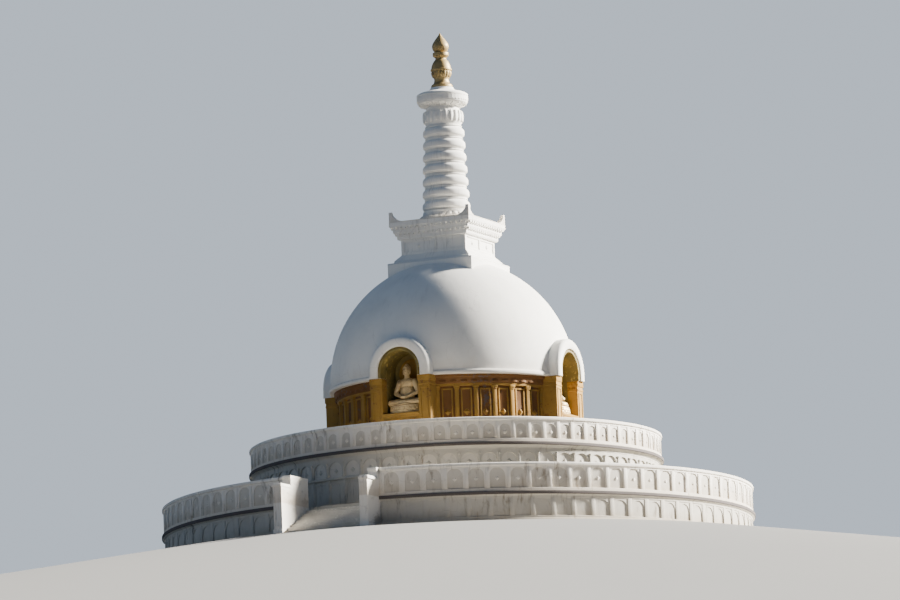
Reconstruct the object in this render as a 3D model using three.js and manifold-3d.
// A white domed stupa on two round terraces, in millimetres.
// Z is up, the origin is on the stupa's axis at ground level, and the stair is on the -Y side.

import * as THREE from 'three';
import { mergeVertices } from 'three/addons/utils/BufferGeometryUtils.js';
import Module from 'manifold-3d';

const wasm = await Module();
wasm.setup();

// Joint between two pieces that touch
const GAP = 0.3;
const MERGE_DISTANCE = 0.001;

// Flat sides of the round forms
const TERRACE_SIDES = 64;
const DOME_SIDES = 48;
const DOME_ROWS = 10;
const SPIRE_SIDES = 20;
const ARCH_SIDES = 14;

// Levels above the ground
const LOWER_DECK = 1340;
const UPPER_DECK = 3810;
const DOME_LIP = 7090;
const DOME_CENTRE = 7450;
const HARMIKA_FOOT = 11700;
const HARMIKA_NECK = 12760;
const HARMIKA_CORNICE = 13380;
const HARMIKA_TOP = 14130;
const RINGS_FOOT = 14620;
const RINGS_TOP = 18250;
const PARASOL_FOOT = 19080;
const FINIAL_FOOT = 19900;
const JEWEL_FOOT = 21400;
const FINIAL_TOP = 22280;

// Lower terrace
const LOWER_LEDGE_RADIUS = 12340;
const LOWER_WALL_RADIUS = 12200;
const LOWER_PLINTH_RADIUS = 12290;
const LOWER_PLINTH_HEIGHT = 240;
const LEDGE_THICKNESS = 130;
const LEDGE_SPLAY = 70;

// Upper drum
const UPPER_LEDGE_RADIUS = 8640;
const UPPER_WALL_RADIUS = 8420;
const UPPER_KERB_RADIUS = 8560;
const UPPER_KERB_HEIGHT = 230;

// Parapets
const LOWER_PARAPET_HEIGHT = 1150;
const UPPER_PARAPET_HEIGHT = 1020;
const PARAPET_WALL = 180;
const COPING_WIDTH = 300;
const COPING_HEIGHT = 120;
const COPING_SPLAY = 30;
const COPING_SETBACK = 40;

// Stair, let into the lower terrace
const STAIR_HALF_WIDTH = 1700;
const STAIR_RISERS = 8;
const STAIR_GOING = 340;
const STAIR_HEAD = 10700;
const STAIR_WALL = 400;
const PIER_HEIGHT = 2060;
const PIER_FRONT = 13180;
const PIER_BACK = 12280;
const CAP_HEIGHT = 100;
const CAP_OVERHANG = 45;

// Gilded drum under the dome
const DRUM_RADIUS = 4900;
const DRUM_PLINTH_RADIUS = 5120;
const DRUM_PLINTH_HEIGHT = 320;
const DRUM_STEP_RADIUS = 5020;
const DRUM_STEP_HEIGHT = 150;
const DRUM_CORNICE_RADIUS = 5060;
const DRUM_CORNICE_HEIGHT = 260;

// Dome
const DOME_RADIUS = 5190;
const LIP_RADIUS = 5260;
const LIP_HEIGHT = 170;

// Niches
const NICHE_HALF_WIDTH = 830;
const NICHE_BACK = 3900;
const NICHE_SPRING = 7370;
const HOOD_HALF_WIDTH = 1380;
const HOOD_FACE = 5430;
const HOOD_BACK = 4300;
const JAMB_FACE = 5310;
const PEDESTAL_TOP = 5600;

// Seated figure and its lotus seat
const FIGURE_SETBACK = 4640;
const SEAT_HEIGHT = 330;
const SEAT_RADIUS = 790;
const SEAT_FLATTENING = 0.72;
const FIGURE_SCALE = 1.12;

// Harmika, as sides of its squares
const HARMIKA_BASE_SIDE = 3850;
const HARMIKA_STEP_SIDE = 3420;
const HARMIKA_NECK_SIDE = 2950;
const HARMIKA_TOP_SIDE = 3680;
const HARMIKA_BASE_RISE = 680;
const HARMIKA_STEP_RISE = 110;
const ACROTERION_HEIGHT = 420;
const ACROTERION_LENGTH = 950;
const ACROTERION_THICKNESS = 150;

// Spire
const RING_COUNT = 7;
const LOWEST_RING_RADIUS = 1000;
const HIGHEST_RING_RADIUS = 870;
const RING_GROOVE = 130;
const BALL_RADIUS = 850;
const PARASOL_RADIUS = 1080;
const FINIAL_RADIUS = 450;

// Finishes
const WHITEWASH = { color: 0xf2f0ea, roughness: 0.85, metalness: 0 };
const CREAM = { color: 0xe9e2d4, roughness: 0.85, metalness: 0 };
const GOLD_PAINT = { color: 0xd9a441, roughness: 0.5, metalness: 0.3 };
const GILDING = { color: 0xc9912f, roughness: 0.35, metalness: 0.9 };
const STEP_STONE = { color: 0xcfc8bc, roughness: 0.9, metalness: 0 };

const SIDE_NAMES = ['front', 'right', 'back', 'left'];
const QUARTER_NAMES = ['front_right', 'back_right', 'back_left', 'front_left'];
const QUARTER = Math.PI / 2;

const stupa = new THREE.Group();

// Turn a three.js geometry into a solid that can be joined and cut
function toSolid(geometry) {
  const bare = geometry.clone();
  bare.deleteAttribute('normal');
  bare.deleteAttribute('uv');
  const merged = mergeVertices(bare, MERGE_DISTANCE);
  const index = merged.index.array;
  const kept = [];
  for (let i = 0; i < index.length; i += 3) {
    const [a, b, c] = [index[i], index[i + 1], index[i + 2]];
    if (a !== b && b !== c && c !== a) kept.push(a, b, c);
  }
  const mesh = new wasm.Mesh({
    numProp: 3,
    vertProperties: new Float32Array(merged.attributes.position.array),
    triVerts: new Uint32Array(kept),
  });
  return new wasm.Manifold(mesh);
}

// Turn a solid back into a three.js geometry
function toGeometry(solid) {
  const mesh = solid.getMesh();
  const geometry = new THREE.BufferGeometry();
  geometry.setAttribute('position', new THREE.BufferAttribute(mesh.vertProperties, 3));
  geometry.setIndex(new THREE.BufferAttribute(mesh.triVerts, 1));
  geometry.computeVertexNormals();
  return geometry;
}

// Add one named piece to the stupa, turned about the axis if it is one of a set
function addPiece(name, solid, finish, turn = 0) {
  const mesh = new THREE.Mesh(toGeometry(solid), new THREE.MeshStandardMaterial(finish));
  mesh.name = name;
  mesh.rotation.z = turn;
  stupa.add(mesh);
}

// Solid of revolution about the Z axis, from [radius, height] pairs taken anticlockwise
function turned(profile, sides) {
  const points = profile.map(([radius, height]) => new THREE.Vector2(radius, height));
  const geometry = new THREE.LatheGeometry(points, sides);
  geometry.rotateX(QUARTER);
  return toSolid(geometry);
}

// Square solid with a stepped profile, from [side, height] pairs taken anticlockwise
function squared(profile) {
  const corners = profile.map(([side, height]) => new THREE.Vector2(side / Math.SQRT2, height));
  const geometry = new THREE.LatheGeometry(corners, 4);
  geometry.rotateX(QUARTER);
  geometry.rotateZ(QUARTER / 2);
  return toSolid(geometry);
}

// Box between two corners
function block([x0, y0, z0], [x1, y1, z1]) {
  const geometry = new THREE.BoxGeometry(x1 - x0, y1 - y0, z1 - z0);
  geometry.translate((x0 + x1) / 2, (y0 + y1) / 2, (z0 + z1) / 2);
  return toSolid(geometry);
}

// Outline of [y, z] pairs, extruded along X from x0 to x1
function alongX(outline, x0, x1) {
  const shape = new THREE.Shape(outline.map(([y, z]) => new THREE.Vector2(y, z)));
  const geometry = new THREE.ExtrudeGeometry(shape, { depth: x1 - x0, bevelEnabled: false });
  const basis = new THREE.Matrix4().makeBasis(
    new THREE.Vector3(0, 1, 0), new THREE.Vector3(0, 0, 1), new THREE.Vector3(1, 0, 0));
  geometry.applyMatrix4(basis);
  geometry.translate(x0, 0, 0);
  return toSolid(geometry);
}

// Shape in X and Z, extruded towards -Y from y = -near to y = -far
function towardsFront(shape, near, far) {
  const options = { depth: far - near, bevelEnabled: false, curveSegments: ARCH_SIDES };
  const geometry = new THREE.ExtrudeGeometry(shape, options);
  geometry.rotateX(QUARTER);
  geometry.translate(0, -near, 0);
  return toSolid(geometry);
}

// Ellipsoid with the given radii and centre
function ellipsoid([rx, ry, rz], [x, y, z], sides = 12, rows = 8) {
  const geometry = new THREE.SphereGeometry(1, sides, rows);
  geometry.rotateX(QUARTER);
  geometry.scale(rx, ry, rz);
  geometry.translate(x, y, z);
  return toSolid(geometry);
}

// Round limb from one point to another
function limb(from, to, startRadius, endRadius, sides = 8) {
  const start = new THREE.Vector3(...from);
  const along = new THREE.Vector3(...to).sub(start);
  const geometry = new THREE.CylinderGeometry(endRadius, startRadius, along.length(), sides);
  geometry.translate(0, along.length() / 2, 0);
  const up = new THREE.Vector3(0, 1, 0);
  geometry.applyQuaternion(new THREE.Quaternion().setFromUnitVectors(up, along.normalize()));
  geometry.translate(start.x, start.y, start.z);
  return toSolid(geometry);
}

// Upright shape with a round head: straight sides from the foot to the spring, then a half circle
function archShape(halfWidth, foot, spring) {
  const shape = new THREE.Shape();
  shape.moveTo(-halfWidth, foot);
  shape.lineTo(halfWidth, foot);
  shape.lineTo(halfWidth, spring);
  shape.absarc(0, spring, halfWidth, 0, Math.PI, false);
  shape.lineTo(-halfWidth, foot);
  return shape;
}

// Slot that a stair leaves in a round mass
function stairRecess(back, top) {
  const halfWidth = STAIR_HALF_WIDTH + STAIR_WALL + GAP;
  return block([-halfWidth, -LOWER_LEDGE_RADIUS * 1.5, -GAP], [halfWidth, -back, top + GAP]);
}

// Profile of a round mass with a plinth at its foot and a projecting ledge at its top
function ledgedProfile({ plinth, plinthHeight, wall, ledge, foot, deck }) {
  const underLedge = deck - LEDGE_THICKNESS;
  return [
    [0, foot],
    [plinth, foot],
    [plinth, foot + plinthHeight],
    [wall, foot + plinthHeight + LEDGE_SPLAY],
    [wall, underLedge - LEDGE_SPLAY],
    [ledge, underLedge],
    [ledge, deck],
    [0, deck],
  ];
}

// Round mass of the lower terrace, with the recess of the stair
function lowerTerrace() {
  const profile = ledgedProfile({
    plinth: LOWER_PLINTH_RADIUS, plinthHeight: LOWER_PLINTH_HEIGHT, wall: LOWER_WALL_RADIUS,
    ledge: LOWER_LEDGE_RADIUS, foot: 0, deck: LOWER_DECK,
  });
  return turned(profile, TERRACE_SIDES).subtract(stairRecess(STAIR_HEAD, LOWER_DECK));
}

// Round mass of the upper drum
function upperDrum() {
  const profile = ledgedProfile({
    plinth: UPPER_KERB_RADIUS, plinthHeight: UPPER_KERB_HEIGHT, wall: UPPER_WALL_RADIUS,
    ledge: UPPER_LEDGE_RADIUS, foot: LOWER_DECK + GAP, deck: UPPER_DECK,
  });
  return turned(profile, TERRACE_SIDES);
}

// Full ring of parapet: a wall under a wider coping with splayed undersides
function parapetRing(ledgeRadius, deck, height) {
  const outer = ledgeRadius - COPING_SETBACK;
  const inner = outer - COPING_WIDTH;
  const inset = (COPING_WIDTH - PARAPET_WALL) / 2;
  const foot = deck + GAP;
  const top = deck + height;
  const underCoping = top - COPING_HEIGHT;
  return turned([
    [inner + inset, foot],
    [outer - inset, foot],
    [outer - inset, underCoping - COPING_SPLAY],
    [outer, underCoping],
    [outer, top],
    [inner, top],
    [inner, underCoping],
    [inner + inset, underCoping - COPING_SPLAY],
    [inner + inset, foot],
  ], TERRACE_SIDES);
}

// One quarter of a parapet ring
function parapetQuarter(ring, quarter, reach) {
  const start = (quarter - 1) * QUARTER;
  const centre = new THREE.Vector2();
  const corners = [[0, 0], [reach, 0], [reach, reach], [0, reach]];
  const wedge = new THREE.Shape(
    corners.map(([x, y]) => new THREE.Vector2(x + GAP / 2, y + GAP / 2).rotateAround(centre, start)));
  const options = { depth: UPPER_DECK + UPPER_PARAPET_HEIGHT * 2, bevelEnabled: false };
  return ring.intersect(toSolid(new THREE.ExtrudeGeometry(wedge, options)));
}

// Four quarters of the parapet on one deck
function addParapet(name, ring, reach) {
  QUARTER_NAMES.forEach((quarterName, quarter) => {
    addPiece(`${name}_${quarterName}`, parapetQuarter(ring, quarter, reach), CREAM);
  });
}

// Flight of steps climbing towards +Y, whose last riser is the edge of the deck above
function flight() {
  const rise = LOWER_DECK / STAIR_RISERS;
  const treads = STAIR_RISERS - 1;
  const foot = -STAIR_HEAD - GAP - treads * STAIR_GOING;
  const outline = [[foot, 0]];
  for (let tread = 0; tread < treads; tread += 1) {
    const level = (tread + 1) * rise;
    outline.push([foot + tread * STAIR_GOING, level]);
    outline.push([foot + (tread + 1) * STAIR_GOING, level]);
  }
  outline.push([foot + treads * STAIR_GOING, 0]);
  return alongX(outline, -STAIR_HALF_WIDTH, STAIR_HALF_WIDTH);
}

// Stair wall on the +X side: level with the parapet at the deck, then a lower pier with a cap
function stairWall() {
  const inner = STAIR_HALF_WIDTH + GAP;
  const outer = STAIR_HALF_WIDTH + STAIR_WALL;
  const guardTop = LOWER_DECK + LOWER_PARAPET_HEIGHT;
  const wall = alongX([
    [-PIER_FRONT, 0],
    [-STAIR_HEAD - GAP, 0],
    [-STAIR_HEAD - GAP, guardTop],
    [-PIER_BACK, guardTop],
    [-PIER_BACK, PIER_HEIGHT],
    [-PIER_FRONT, PIER_HEIGHT],
  ], inner, outer);
  const cap = block(
    [inner, -PIER_FRONT - CAP_OVERHANG, PIER_HEIGHT - CAP_HEIGHT],
    [outer + CAP_OVERHANG, -PIER_BACK, PIER_HEIGHT + CAP_HEIGHT / 2]);
  const coping = block(
    [inner, -PIER_BACK - CAP_OVERHANG, guardTop - COPING_HEIGHT],
    [outer, -STAIR_HEAD - GAP, guardTop]);
  return wall.add(cap).add(coping);
}

// Flight between its two walls
function addStair() {
  addPiece('stair_flight', flight(), STEP_STONE);
  const wall = stairWall();
  addPiece('stair_wall_right', wall, CREAM);
  addPiece('stair_wall_left', wall.mirror([1, 0, 0]), CREAM);
}

// Gilded drum with plinth and cornice, and a slot for each niche
function domeDrum(grow = 0) {
  const foot = UPPER_DECK + GAP - grow;
  const top = DOME_LIP + grow;
  const plinthTop = UPPER_DECK + DRUM_PLINTH_HEIGHT + grow;
  const cornice = DOME_LIP - DRUM_CORNICE_HEIGHT;
  const mass = turned([
    [0, foot],
    [DRUM_PLINTH_RADIUS + grow, foot],
    [DRUM_PLINTH_RADIUS + grow, plinthTop],
    [DRUM_STEP_RADIUS + grow, plinthTop],
    [DRUM_STEP_RADIUS + grow, plinthTop + DRUM_STEP_HEIGHT],
    [DRUM_RADIUS + grow, plinthTop + DRUM_STEP_HEIGHT],
    [DRUM_RADIUS + grow, cornice - grow],
    [DRUM_CORNICE_RADIUS + grow, cornice + LEDGE_SPLAY],
    [DRUM_CORNICE_RADIUS + grow, top],
    [0, top],
  ], DOME_SIDES);
  const slot = block(
    [-NICHE_HALF_WIDTH + grow, -HOOD_FACE, foot - GAP],
    [NICHE_HALF_WIDTH - grow, -NICHE_BACK - grow, top + GAP]);
  return cutOnFourSides(mass, slot);
}

// Cut the same tool out of all four sides
function cutOnFourSides(mass, tool) {
  return SIDE_NAMES.reduce(
    (rest, name, side) => rest.subtract(tool.rotate([0, 0, side * 90])), mass);
}

// Dome: a sphere above its equator, a short skirt and a rounded lip below
function domeMass(grow = 0) {
  const lipTop = DOME_LIP + LIP_HEIGHT;
  const profile = [
    [0, DOME_LIP + GAP - grow],
    [LIP_RADIUS + grow, DOME_LIP + GAP - grow],
    [LIP_RADIUS + grow, lipTop],
    [DOME_RADIUS + grow, lipTop + (LIP_RADIUS - DOME_RADIUS)],
  ];
  for (let row = 0; row <= DOME_ROWS; row += 1) {
    const angle = (row / DOME_ROWS) * QUARTER;
    const radius = row === DOME_ROWS ? 0 : (DOME_RADIUS + grow) * Math.cos(angle);
    profile.push([radius, DOME_CENTRE + (DOME_RADIUS + grow) * Math.sin(angle)]);
  }
  return turned(profile, DOME_SIDES);
}

// Dome with its niches and the seat of the harmika cut out
function dome() {
  const archShapeInner = archShape(NICHE_HALF_WIDTH, DOME_LIP - GAP, NICHE_SPRING);
  const niche = towardsFront(archShapeInner, NICHE_BACK, HOOD_FACE);
  const half = HARMIKA_BASE_SIDE / 2 + GAP;
  const seat = block([-half, -half, HARMIKA_FOOT - GAP], [half, half, HARMIKA_TOP]);
  return cutOnFourSides(domeMass(), niche).subtract(seat);
}

// Arched hood in front of one niche
function nicheHood() {
  const shape = archShape(HOOD_HALF_WIDTH, DOME_LIP + GAP, NICHE_SPRING);
  const opening = archShape(NICHE_HALF_WIDTH, DOME_LIP - GAP, NICHE_SPRING);
  const hood = towardsFront(shape, HOOD_BACK, HOOD_FACE);
  const through = towardsFront(opening, NICHE_BACK, HOOD_FACE + COPING_WIDTH);
  return hood.subtract(through).subtract(domeMass(GAP));
}

// Two jambs joined by the pedestal that the figure sits on
function nicheSurround() {
  const foot = UPPER_DECK + GAP;
  const pedestal = block(
    [-HOOD_HALF_WIDTH, -JAMB_FACE, foot], [HOOD_HALF_WIDTH, -NICHE_BACK - GAP, PEDESTAL_TOP]);
  const frame = block(
    [-HOOD_HALF_WIDTH, -JAMB_FACE, foot], [HOOD_HALF_WIDTH, -DRUM_RADIUS, DOME_LIP]);
  const opening = block(
    [-NICHE_HALF_WIDTH, -HOOD_FACE, PEDESTAL_TOP], [NICHE_HALF_WIDTH, -NICHE_BACK, DOME_LIP + GAP]);
  return pedestal.add(frame).subtract(opening).subtract(domeDrum(GAP));
}

// Body seated with crossed legs and hands in its lap, before it is scaled
function seatedBody() {
  const torso = turned([
    [0, 60], [330, 60], [262, 450], [335, 880], [250, 1020], [105, 1080], [105, 1200], [0, 1200],
  ], 8).scale([1, 0.7, 1]);
  const legs = ellipsoid([700, 400, 170], [0, -30, 150], 12, 5);
  const head = ellipsoid([150, 172, 205], [0, 70, 1300], 8, 6);
  const topknot = ellipsoid([78, 80, 90], [0, 90, 1490], 6, 4);
  const arms = [-1, 1].map((side) => {
    const shoulder = [side * 300, 90, 930];
    const elbow = [side * 455, 20, 480];
    const hand = [side * 40, -250, 350];
    return limb(shoulder, elbow, 115, 92, 6)
      .add(limb(elbow, hand, 90, 62, 6))
      .add(ellipsoid([100, 100, 100], elbow, 6, 4));
  });
  return [legs, head, topknot, ...arms].reduce(
    (joined, part) => joined.add(part), torso.translate([0, 90, 0]));
}

// Figure on its lotus seat
function seatedFigure() {
  const seatTop = SEAT_HEIGHT - GAP;
  const seat = turned([
    [0, 0],
    [SEAT_RADIUS, 0],
    [SEAT_RADIUS, 0.3 * seatTop],
    [0.82 * SEAT_RADIUS, 0.5 * seatTop],
    [SEAT_RADIUS, 0.75 * seatTop],
    [0.96 * SEAT_RADIUS, seatTop],
    [0, seatTop],
  ], 16).scale([1, SEAT_FLATTENING, 1]);
  const body = seatedBody().scale([FIGURE_SCALE, FIGURE_SCALE, FIGURE_SCALE]);
  const figure = seat.add(body.translate([0, 0, seatTop]));
  return figure.translate([0, -FIGURE_SETBACK, PEDESTAL_TOP + GAP]);
}

// Hood, surround and figure on each of the four sides
function addNiches() {
  const hood = nicheHood();
  const surround = nicheSurround();
  const figure = seatedFigure();
  SIDE_NAMES.forEach((name, side) => {
    addPiece(`niche_hood_${name}`, hood, WHITEWASH, side * QUARTER);
    addPiece(`niche_surround_${name}`, surround, GOLD_PAINT, side * QUARTER);
    addPiece(`seated_figure_${name}`, figure, GILDING, side * QUARTER);
  });
}

// Upturned leaf on one corner of the harmika, with a leg along each side
function acroterion(corner) {
  const leaf = new THREE.Shape();
  leaf.moveTo(corner, HARMIKA_TOP - CAP_HEIGHT);
  leaf.lineTo(corner, HARMIKA_TOP + ACROTERION_HEIGHT);
  leaf.quadraticCurveTo(
    corner - ACROTERION_LENGTH * 0.3, HARMIKA_TOP + ACROTERION_HEIGHT * 0.2,
    corner - ACROTERION_LENGTH, HARMIKA_TOP - CAP_HEIGHT);
  leaf.lineTo(corner, HARMIKA_TOP - CAP_HEIGHT);
  const leg = towardsFront(leaf, corner - ACROTERION_THICKNESS, corner);
  const otherLeg = leg.mirror([1, 1, 0]);
  return leg.add(otherLeg);
}

// Square harmika: a plinth let into the dome, a neck, and a stepped cornice
function addHarmika() {
  const baseTop = HARMIKA_FOOT + HARMIKA_BASE_RISE;
  const stepTop = baseTop + HARMIKA_STEP_RISE;
  addPiece('harmika_plinth', squared([
    [0, HARMIKA_FOOT],
    [HARMIKA_BASE_SIDE, HARMIKA_FOOT],
    [HARMIKA_BASE_SIDE, baseTop],
    [HARMIKA_STEP_SIDE, baseTop],
    [HARMIKA_STEP_SIDE, stepTop],
    [HARMIKA_NECK_SIDE, HARMIKA_NECK - GAP],
    [0, HARMIKA_NECK - GAP],
  ]), WHITEWASH);
  addPiece('harmika_neck', squared([
    [0, HARMIKA_NECK],
    [HARMIKA_NECK_SIDE, HARMIKA_NECK],
    [HARMIKA_NECK_SIDE, HARMIKA_CORNICE - GAP],
    [0, HARMIKA_CORNICE - GAP],
  ]), WHITEWASH);
  const steps = 3;
  const overhang = (HARMIKA_TOP_SIDE - HARMIKA_NECK_SIDE) / steps;
  const rise = (HARMIKA_TOP - HARMIKA_CORNICE) / steps;
  const profile = [[0, HARMIKA_CORNICE]];
  for (let step = 0; step < steps; step += 1) {
    const side = HARMIKA_NECK_SIDE + (step + 1) * overhang;
    profile.push([side, HARMIKA_CORNICE + step * rise]);
    profile.push([side, HARMIKA_CORNICE + (step + 1) * rise]);
  }
  profile.push([0, HARMIKA_TOP]);
  const corner = HARMIKA_TOP_SIDE / 2;
  const leaf = acroterion(corner);
  const cornice = SIDE_NAMES.reduce(
    (joined, name, side) => joined.add(leaf.rotate([0, 0, side * 90])), squared(profile));
  addPiece('harmika_cornice', cornice, WHITEWASH);
}

// Spire: a lotus base, tapering rings, a parasol and the gilded finial
function addSpire() {
  const baseFoot = HARMIKA_TOP + GAP;
  addPiece('spire_base', turned([
    [0, baseFoot],
    [1180, baseFoot],
    [1180, baseFoot + 110],
    [1060, baseFoot + 150],
    [900, baseFoot + 300],
    [1010, RINGS_FOOT - 90],
    [980, RINGS_FOOT - GAP],
    [0, RINGS_FOOT - GAP],
  ], SPIRE_SIDES), WHITEWASH);
  const pitch = (RINGS_TOP - RINGS_FOOT) / RING_COUNT;
  for (let ring = 0; ring < RING_COUNT; ring += 1) {
    const share = ring / (RING_COUNT - 1);
    const radius = THREE.MathUtils.lerp(LOWEST_RING_RADIUS, HIGHEST_RING_RADIUS, share);
    const foot = RINGS_FOOT + ring * pitch;
    const groove = radius - RING_GROOVE;
    addPiece(`spire_ring_${ring + 1}`, turned([
      [0, foot],
      [groove, foot],
      [radius, foot + 0.22 * pitch],
      [radius, foot + 0.62 * pitch],
      [groove, foot + 0.84 * pitch],
      [groove, foot + pitch - GAP],
      [0, foot + pitch - GAP],
    ], SPIRE_SIDES), WHITEWASH);
  }
  const ballHeight = PARASOL_FOOT - RINGS_TOP;
  addPiece('parasol', turned([
    [0, RINGS_TOP],
    [0.82 * BALL_RADIUS, RINGS_TOP],
    [BALL_RADIUS, RINGS_TOP + 0.3 * ballHeight],
    [BALL_RADIUS, RINGS_TOP + 0.62 * ballHeight],
    [0.78 * BALL_RADIUS, PARASOL_FOOT],
    [PARASOL_RADIUS - 80, PARASOL_FOOT + 90],
    [PARASOL_RADIUS, PARASOL_FOOT + 150],
    [PARASOL_RADIUS, PARASOL_FOOT + 520],
    [PARASOL_RADIUS - 130, PARASOL_FOOT + 590],
    [560, PARASOL_FOOT + 700],
    [480, FINIAL_FOOT - GAP],
    [0, FINIAL_FOOT - GAP],
  ], SPIRE_SIDES), WHITEWASH);
  addPiece('finial_vase', turned([
    [0, FINIAL_FOOT],
    [FINIAL_RADIUS, FINIAL_FOOT],
    [FINIAL_RADIUS, FINIAL_FOOT + 120],
    [0.72 * FINIAL_RADIUS, FINIAL_FOOT + 260],
    [0.62 * FINIAL_RADIUS, FINIAL_FOOT + 380],
    [0.9 * FINIAL_RADIUS, FINIAL_FOOT + 620],
    [0.94 * FINIAL_RADIUS, FINIAL_FOOT + 860],
    [0.72 * FINIAL_RADIUS, FINIAL_FOOT + 1130],
    [0.5 * FINIAL_RADIUS, FINIAL_FOOT + 1240],
    [0.74 * FINIAL_RADIUS, FINIAL_FOOT + 1340],
    [0.74 * FINIAL_RADIUS, JEWEL_FOOT - GAP],
    [0, JEWEL_FOOT - GAP],
  ], SPIRE_SIDES), GILDING);
  addPiece('finial_jewel', turned([
    [0, JEWEL_FOOT],
    [0.5 * FINIAL_RADIUS, JEWEL_FOOT],
    [0.8 * FINIAL_RADIUS, JEWEL_FOOT + 190],
    [0.74 * FINIAL_RADIUS, JEWEL_FOOT + 370],
    [0.42 * FINIAL_RADIUS, JEWEL_FOOT + 600],
    [0.14 * FINIAL_RADIUS, JEWEL_FOOT + 760],
    [0, FINIAL_TOP],
  ], SPIRE_SIDES), GILDING);
}

const lowerRing = parapetRing(LOWER_LEDGE_RADIUS, LOWER_DECK, LOWER_PARAPET_HEIGHT);
const upperRing = parapetRing(UPPER_LEDGE_RADIUS, UPPER_DECK, UPPER_PARAPET_HEIGHT);
const stairGap = stairRecess(0, UPPER_DECK);
const parapetReach = LOWER_LEDGE_RADIUS * 1.5;

addPiece('lower_terrace', lowerTerrace(), WHITEWASH);
addParapet('lower_parapet', lowerRing.subtract(stairGap), parapetReach);
addStair();
addPiece('upper_drum', upperDrum(), WHITEWASH);
addParapet('upper_parapet', upperRing, parapetReach);
addPiece('dome_drum', domeDrum(), GOLD_PAINT);
addPiece('dome', dome(), WHITEWASH);
addNiches();
addHarmika();
addSpire();

export default stupa;
